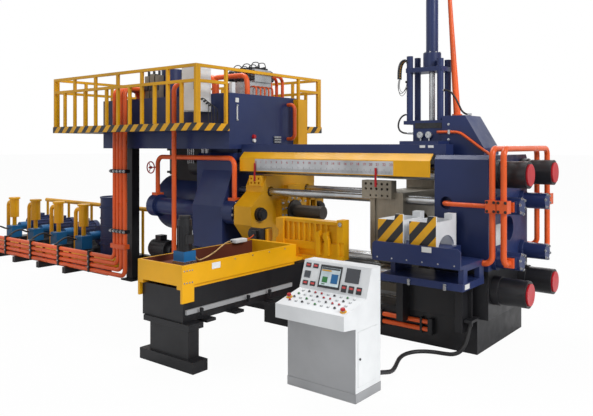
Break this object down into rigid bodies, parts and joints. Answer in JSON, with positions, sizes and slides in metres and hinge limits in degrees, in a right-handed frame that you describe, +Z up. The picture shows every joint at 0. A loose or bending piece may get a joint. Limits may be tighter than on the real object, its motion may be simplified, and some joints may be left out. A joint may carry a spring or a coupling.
{
  "type": "aluminum extrusion press",
  "caption": "Horizontal hydraulic press that pushes hot aluminum billets through a die, with tie-rod frame, container, shear, billet loader, oil tank platform, pumps and console.",
  "frame": {"origin": "on the floor under the middle of the welded press base, on the extrusion axis", "axes": "+X along the extrusion axis from the pumps to the die end, +Y away from the operator, +Z up"},
  "size_m": [12.32, 4.71, 4.55],
  "materials": {
    "navy_paint": "semi-gloss enamel",
    "yellow_paint": "semi-gloss enamel",
    "orange_paint": "gloss enamel",
    "black_paint": "satin enamel",
    "machined_steel": "ground and polished",
    "tool_steel": "machined",
    "scale_aluminium": "satin with fine division marks",
    "white_paint": "powder coat",
    "blue_paint": "semi-gloss enamel",
    "red_paint": "gloss enamel",
    "cable_rubber": "matt"
  },
  "bodies": {
    "press_frame": {"rear_platen": "navy_paint", "main_cylinder": "navy_paint", "side_cylinders": "navy_paint", "front_platen": "navy_paint", "shift_cylinders": "navy_paint", "top_beams": "navy_paint", "shear_frame": "navy_paint", "shear_cylinder": "navy_paint", "shear_housing": "navy_paint", "die_table": "navy_paint", "oil_tank": "navy_paint", "tank_cooler": "navy_paint", "pump_motors": "navy_paint", "oil_drum": "navy_paint", "rod_covers": "yellow_paint", "toe_boards": "yellow_paint", "handrail_near": "yellow_paint", "handrail_far": "yellow_paint", "handrail_ends": "yellow_paint", "cable_duct": "yellow_paint", "suction_filters": "yellow_paint", "suction_manifold": "yellow_paint", "boom_pole": "orange_paint", "tank_pipes": "orange_paint", "riser_pipes": "orange_paint", "side_cylinder_pipes": "orange_paint", "platen_pipes": "orange_paint", "base_frame": "black_paint", "prefill_valve": "black_paint", "rod_nuts": "black_paint", "platform_deck": "black_paint", "tank_columns": "black_paint", "auxiliary_pump": "black_paint", "pump_skid": "black_paint", "loader_bed": "black_paint", "loader_pedestals": "black_paint", "guide_ways": "machined_steel", "tie_rods": "machined_steel", "valve_manifold": "machined_steel", "die_holder": "tool_steel", "scale_plate": "scale_aluminium", "control_box": "white_paint", "console": "white_paint", "pumps": "blue_paint", "nut_caps": "red_paint", "console_cable": "cable_rubber"},
    "crosshead_body": {"crosshead": "yellow_paint", "main_ram": "machined_steel", "side_rods": "machined_steel", "stem": "tool_steel", "crosshead_pointer": "red_paint"},
    "container_body": {"container": "tool_steel", "shift_rods": "machined_steel", "container_pointer": "red_paint"},
    "shear_body": {"shear_slide": "machined_steel"},
    "loader_body": {"loader_carriage": "yellow_paint", "loader_trough": "yellow_paint", "loader_drive": "black_paint"},
    "die_shuttle_body": {"die_shuttle": "white_paint"},
    "handwheel_body": {"handwheel": "red_paint"}
  },
  "joints": [
    {"name": "crosshead_slide", "type": "slide", "parent": "press_frame", "child": "crosshead_body", "axis": [-1, 0, 0], "range_m": [-1.65, 0]},
    {"name": "container_slide", "type": "slide", "parent": "press_frame", "child": "container_body", "axis": [-1, 0, 0], "range_m": [-0.3, 0]},
    {"name": "shear_slide_joint", "type": "slide", "parent": "press_frame", "child": "shear_body", "axis": [0, 0, -1], "range_m": [0, 0.75]},
    {"name": "loader_slide", "type": "slide", "parent": "press_frame", "child": "loader_body", "axis": [0, 1, 0], "range_m": [0, 1.06]},
    {"name": "die_shuttle_slide", "type": "slide", "parent": "press_frame", "child": "die_shuttle_body", "axis": [-1, 0, 0], "range_m": [0, 0.41]},
    {"name": "handwheel_turn", "type": "hinge", "parent": "press_frame", "child": "handwheel_body", "pos_m": [-2.64, -0.87, 2.025], "axis": [0, -1, 0], "continuous": true}
  ]
}
